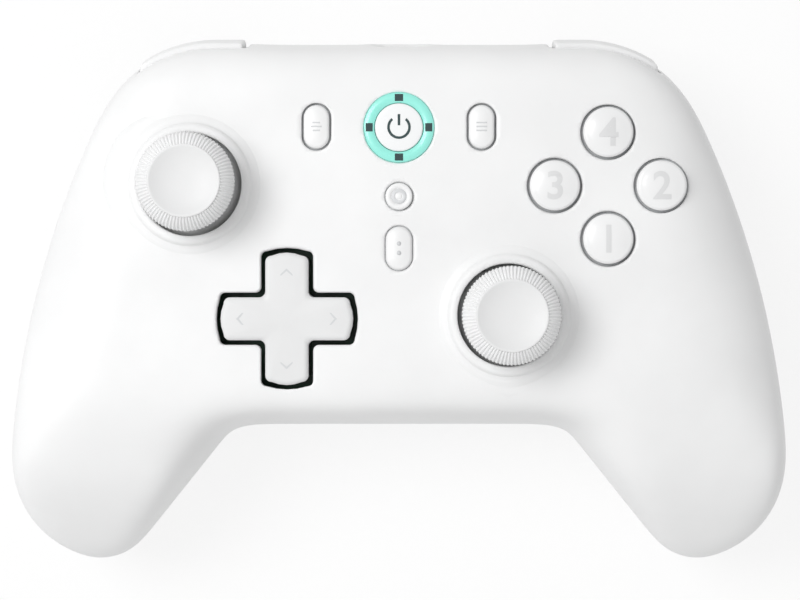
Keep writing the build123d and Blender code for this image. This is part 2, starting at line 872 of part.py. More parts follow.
def home_ring():
    """The clear ring round the home button, held from below by two lugs."""
    top = face_height + home_ring_rise
    low = top - home_ring_depth
    half = button_bar_width / 2
    x, y = home_centre.X, home_centre.Y
    body = prism(ring_radius, low, top, home_centre)
    body += block(x - half, x + half, y - ring_radius - button_flange, y + ring_radius + button_flange,
                  bar_bottom, seat)
    return body - prism(home_radius + home_ring_gap, low - overrun, top + overrun, home_centre, True)


def home_button():
    """The home button inside the ring, with a bar that stops under the ring."""
    top = face_height + home_rise
    ring_bottom = face_height + home_ring_rise - home_ring_depth
    bar_high = ring_bottom - button_flange_gap
    bar_low = bar_high - button_flange_height
    body = turned([(home_radius, bar_low), (home_radius, top - home_edge), (home_radius - home_edge, top)],
                  home_centre)
    half = button_bar_width / 2
    x, y = home_centre.X, home_centre.Y
    return body + block(x - ring_radius, x + ring_radius, y - half, y + half, bar_low, bar_high)


# Direction pad
dpad_pivot = face_height - dpad_pivot_depth
dpad_flange_top = seat - dpad_flange_drop
dpad_flange_bottom = dpad_flange_top - dpad_flange_height


def dpad():
    """The cross, with a flange under the face and two cheeks that hang on the carrier."""
    top = face_height + dpad_rise
    body = cross_block(0, dpad_flange_top, top)
    body += cross_block(dpad_flange, dpad_flange_bottom, dpad_flange_top, 0)
    x, y = dpad_centre.X, dpad_centre.Y
    half = dpad_carrier_half + slide_gap
    cheek = dpad_post_thickness
    low = dpad_pivot - 2 * dpad_axle_radius
    for side in (-1, 1):
        near, far = sorted((side * half, side * (half + cheek)))
        body += block(x - dpad_carrier_half, x + dpad_carrier_half, y + near, y + far, low, dpad_flange_bottom)
    reach = half + cheek
    return body - cross_rod(dpad_axle_radius + running_gap, y - reach, y + reach, x, dpad_pivot, True, pin_sides)


def dpad_carrier():
    """The small cross-shaped link that lets the pad tip both ways."""
    x, y = dpad_centre.X, dpad_centre.Y
    half = dpad_carrier_half
    high = dpad_carrier_height / 2
    body = block(x - half, x + half, y - half, y + half, dpad_pivot - high, dpad_pivot + high)
    reach = half + slide_gap + dpad_post_thickness
    body += cross_rod(dpad_axle_radius, y - reach, y + reach, x, dpad_pivot, sides=pin_sides)
    return body + rod(dpad_axle_radius, x - reach, x + reach, y, dpad_pivot, sides=pin_sides)


def dpad_stand():
    """The bracket on the board that carries the link of the direction pad."""
    x, y = dpad_centre.X, dpad_centre.Y
    half = dpad_carrier_half + slide_gap
    reach = half + dpad_post_thickness
    high = dpad_pivot + dpad_hub_rise
    body = block(x - reach, x + reach, y - dpad_carrier_half, y + dpad_carrier_half, board_top, high)
    body -= block(x - half, x + half, y - reach, y + reach, board_top + pad_thickness, high + overrun)
    reach += overrun
    return body - rod(dpad_axle_radius + running_gap, x - reach, x + reach, y, dpad_pivot, True, pin_sides)


# Analogue sticks
can_half = stick_can_size / 2
can_top = pivot_height + stick_can_rise
can_bottom = pivot_height - stick_can_drop


def stick_case(centre):
    """The steel case of a stick, with bearing holes for its two rockers."""
    inner = can_half - stick_can_wall
    body = tower(can_half, can_bottom, can_top, centre) - tower(inner, can_bottom + stick_can_wall, face_height, centre)
    half = can_half + overrun
    x, y = centre.X, centre.Y
    lower = rod(stick_axle_radius + running_gap, x - half, x + half, y, pivot_height, True, pin_sides)
    upper = cross_rod(stick_axle_radius + running_gap, y - half, y + half, x, pivot_height, True, pin_sides)
    rim = can_half + stick_can_corner_gap + fit
    foot = tower(rim, board_bottom - stick_can_wall, board_bottom, centre)
    return body + (foot - tower(inner, 0, face_height, centre)) - lower - upper


def stick_rocker(centre):
    """The lower rocker, a small frame that turns about X and carries the pivot of the stick."""
    x, y = centre.X, centre.Y
    half, wide = stick_rocker_half, stick_rocker_half
    low, high = pivot_height - stick_rocker_drop, pivot_height + stick_rocker_rise
    body = block(x - half, x + half, y - wide, y + wide, low, high)
    body += rod(stick_axle_radius, x - can_half, x + can_half, y, pivot_height, sides=pin_sides)
    slot = stick_pivot_radius + slide_gap
    body -= block(x - slot, x + slot, y - slot, y + slot, low - overrun, high + overrun)
    reach = stick_rocker_half + overrun
    bore = stick_trunnion_radius + running_gap
    return body - cross_rod(bore, y - reach, y + reach, x, pivot_height, True, pin_sides)


def stick_pivot(centre):
    """The pivot inside the lower rocker, with two trunnions, bored for the shaft of the stick."""
    x, y = centre.X, centre.Y
    body = cross_rod(stick_pivot_radius, y - stick_pivot_radius, y + stick_pivot_radius, x, pivot_height)
    reach = stick_rocker_half
    body += cross_rod(stick_trunnion_radius, y - reach, y + reach, x, pivot_height, sides=pin_sides)
    low = pivot_height - stick_pivot_radius - overrun
    high = pivot_height + stick_pivot_radius + overrun
    return body - prism(stick_shaft_radius + running_gap, low, high, centre, True, pin_sides)


def stick_bow(centre):
    """The upper rocker, a bow that turns about Y, with a slot that the shaft slides along."""
    x, y = centre.X, centre.Y
    inner = stick_bow_reach
    outer = inner + stick_bow_thickness
    half = stick_bow_half_width
    top = pivot_height + stick_bow_rise + stick_bow_thickness
    low = pivot_height - stick_axle_radius
    body = block(x - half, x + half, y - outer, y + outer, low, top)
    body -= block(x - half - overrun, x + half + overrun, y - inner, y + inner, low - overrun,
                  pivot_height + stick_bow_rise)
    for near, far in ((y - can_half, y - inner), (y + inner, y + can_half)):
        body += cross_rod(stick_axle_radius, near, far, x, pivot_height, sides=pin_sides)
    slot_half = stick_shaft_radius + running_gap
    length = stick_bow_slot_length / 2
    return body - block(x - slot_half, x + slot_half, y - length, y + length, pivot_height, top + overrun)


def knurl_star(centre):
    """The milled edge of a stick's cap: a many-toothed outline."""
    crest, root = stick_cap_radius, stick_cap_radius - stick_knurl_depth
    points = []
    for step in range(2 * stick_knurl_teeth):
        angle = math.pi * step / stick_knurl_teeth
        radius = crest if step % 2 else root
        points.append((radius * math.cos(angle), radius * math.sin(angle)))
    return Pos(centre.X, centre.Y) * make_face(Polyline(*points, close=True))


def stick(centre):
    """The cap, the neck, the round skirt that closes the opening, and the shaft."""
    top = pivot_height + stick_cap_top
    knurl_top = top - fit
    knurl_low = knurl_top - stick_knurl_height
    cap_low = top - stick_cap_height
    body_radius = stick_cap_radius - stick_knurl_depth
    neck = stick_neck_radius
    skirt = stick_skirt_radius
    arc = [math.radians(stick_skirt_degrees * share) for share in stick_skirt_shares]
    outer = [(skirt * math.sin(angle), pivot_height + skirt * math.cos(angle)) for angle in arc]
    under = skirt - stick_skirt_wall
    inner = [(under * math.sin(angle), pivot_height + under * math.cos(angle)) for angle in arc]
    body = turned([(body_radius, cap_low), (body_radius, knurl_low)], centre)
    body += Pos(0, 0, knurl_low) * extrude(knurl_star(centre), stick_knurl_height)
    body += turned([(stick_rim_radius, knurl_low), (stick_rim_radius, top)], centre)
    dish = stick_rim_radius - stick_rim_width
    floor = top - stick_dish_depth
    body -= turned([(dish - stick_dish_depth, floor), (dish, top), (dish, top + overrun)], centre)
    body += turned(outer + [(neck, outer[-1][1] + neck), (neck, cap_low)], centre)
    body -= turned([(inner[0][0], outer[0][1] - overrun)] + inner, centre)
    foot = pivot_height - stick_pivot_radius
    return body + prism(stick_shaft_radius, foot, outer[-1][1], centre, sides=pin_sides)


# Bumpers and triggers
bumper_finger_x = bumper_outer - bumper_finger_width
bumper_push = (bumper_finger_x - bumper_pivot.X) * math.sin(math.radians(bumper_degrees))


def bumper():
    """The right bumper: a curved skin on an arm with a hub round its post."""
    skin = (proud_form - sunk_form) & block(bumper_inner, bumper_outer, bumper_back, half_length + overrun,
                                            bumper_bottom, bumper_top)
    low = parting_height + bumper_arm_low
    high = low + bumper_arm_height
    back = bumper_pivot.Y - bumper_arm_depth / 2
    front = back + bumper_arm_depth
    arm = block(bumper_pivot.X, bumper_outer - bumper_web, back, front, low, high)
    webs = []
    for x in (bumper_inner + bumper_web, bumper_outer - 2 * bumper_web):
        webs.append(block(x, x + bumper_web, back, half_length, low, high) & rib_form)
    tip = half_length * board_high_share + switch_plunger + bumper_push + slide_gap
    half = bumper_finger_width / 2
    finger = block(bumper_finger_x - half, bumper_finger_x + half, tip, front, low, high + bumper_finger_rise)
    hub = prism(bumper_hub_radius, low, high, bumper_pivot)
    bore = prism(bumper_pin_radius + running_gap, low - overrun, high + overrun, bumper_pivot, True, pin_sides)
    return skin + arm + webs + finger + hub - bore


def trigger_edges(inset):
    """The side view of a trigger about its pivot, from the hub round the tip and back."""
    hub = trigger_hub_radius - inset
    keel = trigger_keel_radius
    front = (trigger_front - inset, -trigger_front_drop - inset)
    tip = (trigger_tip - inset, -trigger_tip_drop + inset)
    waist = (trigger_waist - inset, -trigger_waist_drop)
    angle_front = math.radians(trigger_keel_front_degrees)
    angle_back = math.radians(trigger_keel_back_degrees)
    angle_middle = (angle_front + angle_back) / 2
    keel_points = [(keel * math.sin(angle), -keel * math.cos(angle)) for angle in (angle_front, angle_middle, angle_back)]
    return [
        Line((0, hub), (trigger_shoulder - inset, -trigger_front_drop - inset)),
        Line((trigger_shoulder - inset, -trigger_front_drop - inset), front),
        ThreePointArc(front, waist, tip),
        Line(tip, keel_points[0]),
        ThreePointArc(*keel_points),
        Line(keel_points[2], (-hub, 0)),
        ThreePointArc((-hub, 0), (-hub * math.sqrt(0.5), hub * math.sqrt(0.5)), (0, hub)),
    ]


def trigger():
    """The right trigger: a hollow shell that hangs on its pin."""
    pivot = Pos(0, trigger_pivot_y, trigger_pivot_z)
    body = pivot * profile(trigger_edges(0), trigger_inner, trigger_outer)
    hollow_start, hollow_end = trigger_inner + trigger_wall, trigger_outer - trigger_wall
    low_space = trigger_hub_radius + trigger_wall
    space = block(hollow_start, hollow_end, 0, trigger_waist - trigger_wall - overrun, -trigger_keel_radius - overrun,
                  -low_space)
    body -= pivot * space
    pin = rod(trigger_pin_radius + running_gap, trigger_inner - overrun, trigger_outer + overrun, trigger_pivot_y,
              trigger_pivot_z, True, pin_sides)
    return body - pin


proud_form = housing_form(-bumper_stand)
sunk_form = housing_form(bumper_thickness - bumper_stand)


def write_all():
    """Makes every piece and writes it."""
    left = Plane.YZ
    pieces = {
        "front_shell": front_shell(),
        "rear_shell": rear_shell(),
        "screws": Compound(children=screws()),
        "chassis": chassis(),
        "main_board": board(),
        "button_pads": Compound(children=pads()),
        "plug_socket": socket(),
        "bumper_switches": Compound(children=both_sides(bumper_switch())),
        "battery": battery(),
        "motor_right": motor(),
        "motor_left": mirror(motor(), left),
        "motor_weight_right": motor_weight(),
        "motor_weight_left": mirror(motor_weight(), left),
        "dpad_stand": dpad_stand(),
        "dpad_link": dpad_carrier(),
        "dpad": dpad(),
        "button_view": pill_button(view_centre),
        "button_menu": pill_button(menu_centre),
        "button_mode": mode_button(),
        "button_capture": capture_button(),
        "home_ring": home_ring(),
        "button_home": home_button(),
        "bumper_right": bumper(),
        "bumper_left": mirror(bumper(), left),
        "trigger_right": trigger(),
        "trigger_left": mirror(trigger(), left),
    }
    for number, centre in enumerate(face_centres, 1):
        pieces["button_" + str(number)] = face_button(centre)
    for side, centre in (("left", left_stick), ("right", right_stick)):
        pieces["stick_case_" + side] = stick_case(centre)
        pieces["stick_rocker_" + side] = stick_rocker(centre)
        pieces["stick_pivot_" + side] = stick_pivot(centre)
        pieces["stick_bow_" + side] = stick_bow(centre)
        pieces["stick_" + side] = stick(centre)
    os.makedirs("parts", exist_ok=True)
    for name, shape in pieces.items():
        write(name, shape)
    return pieces


all_pieces = write_all()
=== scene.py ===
import math

import bmesh
import bpy
import numpy as np
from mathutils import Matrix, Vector

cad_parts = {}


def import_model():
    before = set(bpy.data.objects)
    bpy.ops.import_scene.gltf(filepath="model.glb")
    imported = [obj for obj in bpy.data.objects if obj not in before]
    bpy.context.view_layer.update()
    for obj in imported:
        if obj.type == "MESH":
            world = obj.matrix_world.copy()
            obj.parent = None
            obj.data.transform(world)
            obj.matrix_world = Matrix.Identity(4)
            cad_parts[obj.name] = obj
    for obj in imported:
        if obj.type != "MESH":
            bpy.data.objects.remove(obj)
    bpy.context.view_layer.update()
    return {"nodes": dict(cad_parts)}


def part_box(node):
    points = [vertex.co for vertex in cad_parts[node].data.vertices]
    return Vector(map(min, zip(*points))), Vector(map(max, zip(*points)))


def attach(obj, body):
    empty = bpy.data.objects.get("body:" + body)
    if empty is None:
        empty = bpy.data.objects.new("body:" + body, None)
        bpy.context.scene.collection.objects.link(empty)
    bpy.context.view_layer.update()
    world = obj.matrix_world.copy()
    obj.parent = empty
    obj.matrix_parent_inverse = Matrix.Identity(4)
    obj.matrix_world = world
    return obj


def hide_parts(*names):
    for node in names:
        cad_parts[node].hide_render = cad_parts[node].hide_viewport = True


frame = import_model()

nodes = frame["nodes"]
MM = 0.001

# Sizes of the looks, in millimetres, where the frame doesn't give them

# The face, the underside of its wall, and how many points a circle has
face_height = 44.0
ceiling = 42.0
around = 96
cutter_around = 48

# Controls in plan
button_radius, button_rise, button_roll = 4.8, 0.55, 0.75
capture_radius = 2.55
disc_radius = 4.6
ring_radius, ring_hole = 6.72, 4.72
pill_width, mode_width, pill_length = 4.85, 5.0, 8.3
cross_span, cross_arm, cross_corner, cross_bulge = 25.3, 8.2, 1.2, 0.6
cross_roll = 0.9
cap_ridges = 80
ridge_depth = 0.2
dish_edge, dish_depth = 6.3, 1.1
opening_radius = 9.9
print_rise = 0.02

# Gaps round the controls, the break of each opening's edge, and the collars seen in the gaps, whose grey is
# painted gap shade
cut_radius = 11.0
ring_gap = 0.06
button_gap = 0.5
pill_gap = 0.42
small_gap = 0.2
groove, groove_corner = 0.9, 1.1
edge_roll = 0.22
flare = 4.0
collar_level = 42.9
shallow_collar_level = 43.5
collar_depth = 0.6

# Plugs that fill the openings of the face while it is softened
stick_plug, button_plug, ring_plug, capture_plug = 12.2, 5.8, 7.2, 3.2
pill_plug_width, pill_plug_length = 6.2, 9.7
cross_plug_span, cross_plug_arm, cross_plug_corner = 27.6, 10.6, 0.8

# The seam, the windows of bumpers and triggers, the plug opening and the screw wells
seam_level, seam_start, seam_radius, seam_gap = 26.0, 10.44, 407.5, 0.09
trim = 0.3
outside = 60.0
bumper_near, bumper_far = 30.22, 51.02
window_back, window_low, window_high = 42.07, 23.65, 35.25
trigger_gap, trigger_back, trigger_overlap = 0.4, 34.4, 0.4
plug_gap = 0.45
well_sink, well_radius, well_plug, well_around = 0.8, 2.85, 3.1, 40
screw_wells = [(-12.47, 44.11, 16.0), (12.47, 44.11, 16.0), (-58.14, -33.41, 14.0), (58.14, -33.41, 14.0)]

# Softening: the voxel's edge and the rounds of smoothing for the shells, and the share of each round that a
# point takes on the open skin and at the least
shell_voxel, shell_rounds = 0.8, 70
softness, least_share = 0.6, 0.06


def middle(node):
    """Centre of a node's box in plan and its highest point, in millimetres."""
    low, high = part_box(node)
    return Vector(((low[0] + high[0]) / 2 / MM, (low[1] + high[1]) / 2 / MM, high[2] / MM))


def extent(node):
    """Lowest and highest corners of a node's box, in millimetres."""
    low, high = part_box(node)
    return Vector(low) / MM, Vector(high) / MM


# Materials


def shader_nodes(name):
    """A new material, its node tree and its shader."""
    material = bpy.data.materials.new(name)
    material.use_nodes = True
    tree = material.node_tree
    return material, tree, tree.nodes["Principled BSDF"]


def plastic(name, colour, roughness=0.42, grain=1500.0, bump=0.05, coat=0.0, variation=0.02):
    """Moulded plastic: a fine spark-eroded grain and a slight unevenness of tone."""
    material, tree, shader = shader_nodes(name)
    shader.inputs["Coat Weight"].default_value = coat
    shader.inputs["Coat Roughness"].default_value = 0.12
    place = tree.nodes.new("ShaderNodeTexCoord")
    soft = tree.nodes.new("ShaderNodeTexNoise")
    soft.inputs["Scale"].default_value = 45.0
    soft.inputs["Detail"].default_value = 3.0
    tone = tree.nodes.new("ShaderNodeValToRGB")
    low = [max(0.0, part - variation) for part in colour]
    high = [min(1.0, part + variation) for part in colour]
    tone.color_ramp.elements[0].position = 0.35
    tone.color_ramp.elements[0].color = (*low, 1.0)
    tone.color_ramp.elements[1].position = 0.65
    tone.color_ramp.elements[1].color = (*high, 1.0)
    fine = tree.nodes.new("ShaderNodeTexNoise")
    fine.inputs["Scale"].default_value = grain
    fine.inputs["Detail"].default_value = 2.0
    height = tree.nodes.new("ShaderNodeBump")
    height.inputs["Strength"].default_value = bump
    height.inputs["Distance"].default_value = 0.0002
    gloss = tree.nodes.new("ShaderNodeMapRange")
    gloss.inputs["To Min"].default_value = roughness - 0.04
    gloss.inputs["To Max"].default_value = roughness + 0.04
    link = tree.links.new
    link(place.outputs["Object"], soft.inputs["Vector"])
    link(place.outputs["Object"], fine.inputs["Vector"])
    link(soft.outputs["Fac"], tone.inputs["Fac"])
    link(tone.outputs["Color"], shader.inputs["Base Color"])
    link(fine.outputs["Fac"], height.inputs["Height"])
    link(height.outputs["Normal"], shader.inputs["Normal"])
    link(soft.outputs["Fac"], gloss.inputs["Value"])
    link(gloss.outputs["Result"], shader.inputs["Roughness"])
    return material


def metal(name, colour, roughness=0.35):
    """Pressed steel with a faint brushed tone."""
    material, tree, shader = shader_nodes(name)
    shader.inputs["Metallic"].default_value = 1.0
    place = tree.nodes.new("ShaderNodeTexCoord")
    stretch = tree.nodes.new("ShaderNodeMapping")
    stretch.inputs["Scale"].default_value = (60.0, 2500.0, 60.0)
    brush = tree.nodes.new("ShaderNodeTexNoise")
    brush.inputs["Scale"].default_value = 1.0
    tone = tree.nodes.new("ShaderNodeValToRGB")
    tone.color_ramp.elements[0].color = (*[part * 0.8 for part in colour], 1.0)
    tone.color_ramp.elements[1].color = (*colour, 1.0)
    gloss = tree.nodes.new("ShaderNodeMapRange")
    gloss.inputs["To Min"].default_value = roughness - 0.1
    gloss.inputs["To Max"].default_value = roughness + 0.1
    link = tree.links.new
    link(place.outputs["Object"], stretch.inputs["Vector"])
    link(stretch.outputs["Vector"], brush.inputs["Vector"])
    link(brush.outputs["Fac"], tone.inputs["Fac"])
    link(tone.outputs["Color"], shader.inputs["Base Color"])
    link(brush.outputs["Fac"], gloss.inputs["Value"])
    link(gloss.outputs["Result"], shader.inputs["Roughness"])
    return material


def lit_plastic(name, colour, strength):
    """Milky plastic lit from below."""
    material = plastic(name, colour, 0.3, 1200.0, 0.02, 0.3, 0.015)
    shader = material.node_tree.nodes["Principled BSDF"]
    shader.inputs["Emission Color"].default_value = (*colour, 1.0)
    shader.inputs["Emission Strength"].default_value = strength
    return material


white_shell = plastic("white_shell", (0.84, 0.842, 0.843), 0.46, 1800.0, 0.06)
white_key = plastic("white_key", (0.84, 0.842, 0.843), 0.40, 1600.0, 0.03, 0.05)
white_cap = plastic("white_cap", (0.80, 0.802, 0.804), 0.5, 2200.0, 0.08)
white_touch = plastic("white_touch", (0.74, 0.742, 0.744), 0.5, 2200.0, 0.08)
milky_button = plastic("milky_button", (0.85, 0.852, 0.854), 0.22, 900.0, 0.01, 0.5)
home_white = plastic("home_white", (0.87, 0.88, 0.885), 0.3, 1200.0, 0.01, 0.2, 0.01)
grey_print = plastic("grey_print", (0.62, 0.63, 0.64), 0.5, 900.0, 0.01, 0.0, 0.01)
faint_print = plastic("faint_print", (0.70, 0.703, 0.706), 0.4, 900.0, 0.01, 0.0, 0.01)
dark_print = plastic("dark_print", (0.02, 0.05, 0.052), 0.4, 900.0, 0.01, 0.0, 0.005)
# Painted gap shade: this grey on the collars seen in the gaps round the face buttons and pills stands in for
# the shade in those gaps
painted_gap_shade = plastic("painted_gap_shade", (0.42, 0.43, 0.44), 0.5, 900.0, 0.01, 0.0, 0.01)
# Grey of the sunk ring on the small round button, and also painted gap shade on the collars round that button
# and the middle pill
grey_ring_and_gap_shade = plastic("grey_ring_and_gap_shade", (0.66, 0.67, 0.68), 0.45, 900.0, 0.01, 0.0, 0.01)
black_inside = plastic("black_inside", (0.035, 0.035, 0.038), 0.6, 900.0, 0.05, 0.0, 0.008)
green_board = plastic("green_board", (0.02, 0.10, 0.05), 0.35, 700.0, 0.03, 0.2, 0.01)
grey_rubber = plastic("grey_rubber", (0.35, 0.36, 0.37), 0.75, 1200.0, 0.08, 0.0, 0.02)
blue_film = plastic("blue_film", (0.03, 0.08, 0.25), 0.3, 600.0, 0.03, 0.2, 0.01)
ring_light = lit_plastic("ring_light", (0.29, 0.78, 0.68), 0.08)
steel = metal("steel", (0.62, 0.62, 0.60))
sintered = metal("sintered", (0.45, 0.40, 0.32), 0.5)


# Mesh helpers. Points are given in millimetres and stored in metres.


def build(name, points, faces, material, body, node=None, smooth=True):
    """A mesh object that rides on a body, and stands for a node if one is named."""
    mesh = bpy.data.meshes.new(name)
    mesh.from_pydata([tuple(value * MM for value in point) for point in points], [], faces)
    mesh.validate()
    return adopt(name, mesh, material, body, node, smooth)


def adopt(name, mesh, material, body, node=None, smooth=True):
    """Turns a mesh into a shown piece."""
    mesh.materials.clear()
    mesh.materials.append(material)
    mesh.polygons.foreach_set("use_smooth", [smooth] * len(mesh.polygons))
    piece = bpy.data.objects.new(name, mesh)
    bpy.context.scene.collection.objects.link(piece)
    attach(piece, body)
    if node:
        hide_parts(node)
    return piece


def rings(outlines, close_first=False, close_last=True):
    """Faces between outlines of equal point counts, with a fan over the first and last."""
    points = [point for outline in outlines for point in outline]
    count = len(outlines[0])
    faces = []
    for step in range(len(outlines) - 1):
        low, high = step * count, (step + 1) * count
        for turn in range(count):
            after = (turn + 1) % count
            faces.append((low + turn, low + after, high + after, high + turn))
    for wanted, start, flip in ((close_first, 0, True), (close_last, (len(outlines) - 1) * count, False)):
        if wanted:
            outline = points[start:start + count]
            hub = tuple(sum(point[axis] for point in outline) / count for axis in range(3))
            points.append(hub)
            tip = len(points) - 1
            for turn in range(count):
                after = (turn + 1) % count
                pair = (start + after, start + turn) if flip else (start + turn, start + after)
                faces.append((*pair, tip))
    return points, faces


def circle(centre, radius, height, count=around):
    """Points of a level circle."""
    angles = [2 * math.pi * turn / count for turn in range(count)]
    return [(centre.x + radius * math.cos(a), centre.y + radius * math.sin(a), height) for a in angles]


def turned(centre, profile, count=around, close_first=False, close_last=True):
    """Points and faces of a piece turned from pairs of radius and height."""
    outlines = [circle(centre, radius, height, count) for radius, height in profile]
    return rings(outlines, close_first, close_last)


def dome(radius, low, top, rise, roll=0.6, steps=7):
    """Profile of a round button: a straight side, a rolled edge and a domed top."""
    profile = [(radius, low), (radius, top - rise - roll)]
    for step in range(1, steps + 1):
        angle = math.pi / 2 * step / steps
        profile.append((radius - roll + roll * math.cos(angle), top - rise - roll + roll * math.sin(angle)))
    inner = radius - roll
    for step in range(1, steps):
        share = 1 - step / steps
        profile.append((inner * share, top - rise * share**2))
    return profile


def slot_outline(centre, width, length, height, count=24):
    """Points of a pill outline, long in Y."""
    radius = width / 2
    straight = length / 2 - radius
    points = []
    for sign, start in ((1, 0), (-1, math.pi)):
        for turn in range(count + 1):
            angle = start + math.pi * turn / count
            points.append((centre.x + radius * math.cos(angle),
                           centre.y + sign * straight + radius * math.sin(angle), height))
    return points


def pill(centre, width, length, low, top, roll=0.7, crown=0.25, steps=6):
    """A pill button: a straight side, a rolled edge and a slightly crowned top."""
    base = top - crown - roll
    outlines = [slot_outline(centre, width, length, low), slot_outline(centre, width, length, base)]
    for step in range(1, steps + 1):
        angle = math.pi / 2 * step / steps
        inset = roll * (1 - math.cos(angle))
        height = base + roll * math.sin(angle)
        outlines.append(slot_outline(centre, width - 2 * inset, length - 2 * inset, height))
    for share in (0.75, 0.5, 0.25):
        wide = (width - 2 * roll) * share
        outlines.append(slot_outline(centre, wide, wide + length - width, top - crown * share**2))
    return rings(outlines)


def cross_outline(centre, span, arm, corner, bulge, height, steps=6):
    """Points of the cross with rounded corners and bulged ends."""
    half, tip = arm / 2, span / 2 - bulge
    hub, end_x, end_y = half + corner, tip - corner, half - corner
    angles = [math.pi / 2 * step / steps for step in range(steps + 1)]
    arm_points = [(hub - corner * math.sin(a), hub - corner * math.cos(a)) for a in reversed(angles)]
    arm_points += [(end_x + corner * math.cos(a), end_y + corner * math.sin(a)) for a in reversed(angles)]
    arm_points += [(tip + bulge * (1 - share**2), end_y * share) for share in (0.5, 0.0, -0.5)]
    arm_points += [(end_x + corner * math.cos(a), -end_y - corner * math.sin(a)) for a in angles]
    points = []
    for turn in range(4):
        c, s = round(math.cos(-math.pi / 2 * turn)), round(math.sin(-math.pi / 2 * turn))
        points += [(centre.x + c * x - s * y, centre.y + s * x + c * y, height) for x, y in arm_points]
    return points[::-1]


def evaluated(piece):
    """A new mesh with the piece's modifiers applied."""
    graph = bpy.context.evaluated_depsgraph_get()
    graph.update()
    return bpy.data.meshes.new_from_object(piece.evaluated_get(graph))


def hidden_object(name, mesh):
    """An object used only while making a piece."""
    piece = bpy.data.objects.new(name, mesh)
    bpy.context.scene.collection.objects.link(piece)
    return piece


def joined_mesh(name, parts):
    """One mesh from several lists of points and faces, in millimetres."""
    points, faces = [], []
    for part_points, part_faces in parts:
        start = len(points)
        points += part_points
        faces += [tuple(index + start for index in face) for face in part_faces]
    mesh = bpy.data.meshes.new(name)
    mesh.from_pydata([tuple(value * MM for value in point) for point in points], [], faces)
    return mesh


def relax(mesh, weights, rounds):
    """Moves each point towards the mean of its neighbours, by its own weight."""
    count = len(mesh.vertices)
    places = np.empty(count * 3)
    mesh.vertices.foreach_get("co", places)
    places = places.reshape(-1, 3)
    edges = np.empty(len(mesh.edges) * 2, dtype=np.int64)
    mesh.edges.foreach_get("vertices", edges)
    one, two = edges.reshape(-1, 2).T
    degree = np.bincount(one, minlength=count) + np.bincount(two, minlength=count)
    degree = np.maximum(degree, 1)[:, None]
    amount = weights(places / MM)[:, None]
    for step in range(rounds):
        total = np.zeros_like(places)
        for axis in range(3):
            total[:, axis] = (np.bincount(one, places[two, axis], count)
                              + np.bincount(two, places[one, axis], count))
        places = places + amount * (total / degree - places)
    mesh.vertices.foreach_set("co", places.reshape(-1))
    mesh.update()


def clipped(solid, cutters, name):
    """A new mesh: the solid less the cutters."""
    knife = hidden_object(name + "_knife", joined_mesh(name + "_cutters", cutters))
    cut = solid.modifiers.new("cut", "BOOLEAN")
    cut.operation = "DIFFERENCE"
    cut.solver = "EXACT"
    cut.use_self = False
    cut.object = knife
    mesh = evaluated(solid)
    solid.modifiers.clear()
    bpy.data.objects.remove(knife)
    return mesh


def melted(name, meshes, plugs, voxel, weights, rounds):
    """The joined form of some meshes with its edges melted softly together."""
    mesh = bpy.data.meshes.new(name)
    form = bmesh.new()
    for part in meshes:
        form.from_mesh(part)
    if plugs:
        form.from_mesh(joined_mesh(name + "_filler", plugs))
    form.to_mesh(mesh)
    form.free()
    work = hidden_object(name + "_work", mesh)
    remesh = work.modifiers.new("remesh", "REMESH")
    remesh.mode = "VOXEL"
    remesh.voxel_size = voxel * MM
    smooth = evaluated(work)
    relax(smooth, weights, rounds)
    bpy.data.objects.remove(work)
    return smooth


# The places of what stands on the face
face_buttons = ["button_%d" % number for number in range(1, 5)]
sticks = {"left": middle("stick_left"), "right": middle("stick_right")}
cross_low, _ = extent("dpad")
cross_middle = middle("dpad")
home = middle("home_ring")
view_place, menu_place = middle("button_view"), middle("button_menu")
capture, mode = middle("button_capture"), middle("button_mode")


def cross(grow, height, corner):
    """Outline of the cross, grown on every side."""
    span, arm = cross_span + 2 * grow, cross_arm + 2 * grow
    return cross_outline(cross_middle, span, arm, corner, cross_bulge, height)


def pill_shape(centre, width, grow, height):
    """Outline of a pill button, grown on every side."""
    return slot_outline(centre, width + 2 * grow, pill_length + 2 * grow, height)


def face_plugs():
    """Fillers that close the openings of the face while it is softened."""
    low, high = ceiling, face_height
    round_plugs = [(centre, stick_plug) for centre in sticks.values()]
    round_plugs += [(middle(node), button_plug) for node in face_buttons]
    round_plugs += [(home, ring_plug), (capture, capture_plug)]
    parts = []
    for centre, radius in round_plugs:
        parts.append(turned(centre, [(radius, low), (radius, high)], cutter_around, True))
    for centre in (view_place, menu_place, mode):
        parts.append(rings([slot_outline(centre, pill_plug_width, pill_plug_length, level)
                            for level in (low, high)], True))
    parts.append(rings([cross_outline(cross_middle, cross_plug_span, cross_plug_arm, cross_plug_corner,
                                      cross_bulge, level) for level in (low, high)], True))
    return parts


def flared(outline):
    """A cutter with a small flare where it leaves the face, so that the edge is broken."""
    levels = [(0.0, ceiling - 3.0), (0.0, face_height - edge_roll), (edge_roll, face_height),
              (edge_roll + flare, face_height + flare)]
    return rings([outline(grow, height) for grow, height in levels], True)


def face_cutters():
    """The openings of the face, cut with clean edges."""
    round_holes = [(centre, cut_radius) for centre in sticks.values()]
    round_holes += [(middle(node), button_radius + button_gap) for node in face_buttons]
    round_holes += [(home, ring_radius + ring_gap), (capture, capture_radius + small_gap)]
    pill_holes = [(view_place, pill_width, pill_gap), (menu_place, pill_width, pill_gap),
                  (mode, mode_width, small_gap)]
    parts = []
    for centre, radius in round_holes:
        parts.append(flared(lambda grow, height: circle(centre, radius + grow, height)))
    for centre, width, gap in pill_holes:
        parts.append(flared(lambda grow, height: pill_shape(centre, width, gap + grow, height)))
    parts.append(flared(lambda grow, height: cross(groove + grow, height, groove_corner)))
    return parts


def box_part(low, high):
    """A plain box between two corners, as a cutter."""
    corners = [(low[0], low[1]), (high[0], low[1]), (high[0], high[1]), (low[0], high[1])]
    return rings([[(x, y, level) for x, y in corners] for level in (low[2], high[2])], True)


